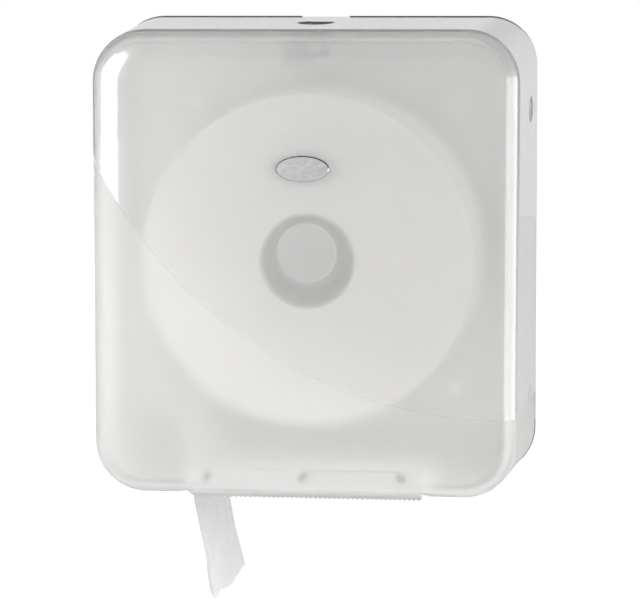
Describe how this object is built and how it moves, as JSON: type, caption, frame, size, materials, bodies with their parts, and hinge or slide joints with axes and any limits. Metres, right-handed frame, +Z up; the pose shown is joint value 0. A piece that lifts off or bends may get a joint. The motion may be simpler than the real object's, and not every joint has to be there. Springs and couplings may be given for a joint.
{
  "type": "jumbo toilet roll dispenser",
  "caption": "Wall case for a jumbo toilet roll: flat back plate, hinged milky cover, hub for the roll, toothed strip and key lock.",
  "frame": {"origin": "centre of the rear face on the wall plane, in the middle of the four wall screw holes", "axes": "+X to the right as the user sees it, +Y into the wall, +Z up; the front faces -Y"},
  "size_m": [0.3248, 0.1459, 0.4317],
  "materials": {
    "back_plastic": "fine satin moulded",
    "spindle_plastic": "satin moulded",
    "screw_steel": "bright zinc plated",
    "hub_plastic": "satin moulded",
    "washer_plastic": "smooth",
    "cap_plastic": "smooth moulded",
    "core_board": "bare grey board",
    "roll_paper": "soft tissue, wound",
    "sheet_paper": "soft tissue",
    "pin_steel": "ground",
    "cover_plastic": "milky, polished above the arc and frosted below",
    "strip_plastic": "smooth",
    "badge_metal": "satin with a bright bevel",
    "lock_metal": "satin chrome",
    "nut_metal": "zinc plated",
    "barrel_plastic": "satin",
    "cam_steel": "zinc plated",
    "catch_plastic": "satin moulded"
  },
  "bodies": {
    "back": {"back_plate": "back_plastic", "spindle": "spindle_plastic", "spindle_screws": "screw_steel", "thrust_washer": "washer_plastic", "hub_cap": "cap_plastic", "hinge_pin_left": "pin_steel", "hinge_pin_right": "pin_steel", "catch": "catch_plastic", "catch_screws": "screw_steel", "paper_tail": "sheet_paper"},
    "hub": {"hub_sleeve": "hub_plastic"},
    "roll": {"roll_core": "core_board", "paper_roll": "roll_paper"},
    "cover": {"front_cover": "cover_plastic", "tear_strip": "strip_plastic", "tear_strip_screws": "screw_steel", "badge": "badge_metal", "lock_bezel": "lock_metal", "lock_nut": "nut_metal"},
    "lock": {"lock_barrel": "barrel_plastic", "lock_cam": "cam_steel", "lock_cam_screw": "screw_steel"}
  },
  "joints": [
    {"name": "cover_hinge", "type": "hinge", "parent": "back", "child": "cover", "pos_m": [0, -0.015, -0.166], "axis": [1, 0, 0], "range_deg": [0, 90]},
    {"name": "roll_spin", "type": "hinge", "parent": "back", "child": "roll", "pos_m": [0, -0.069, 0.0003], "axis": [0, 1, 0], "continuous": true},
    {"name": "hub_spin", "type": "hinge", "parent": "back", "child": "hub", "pos_m": [0, -0.065, 0.0063], "axis": [0, 1, 0], "continuous": true},
    {"name": "lock_turn", "type": "hinge", "parent": "cover", "child": "lock", "pos_m": [0, -0.06, 0.16], "axis": [0, 0, 1], "range_deg": [0, 90]}
  ],
  "couplings": [
    {"joint": "hub_spin", "follows": "roll_spin", "ratio": 1.2333}
  ]
}
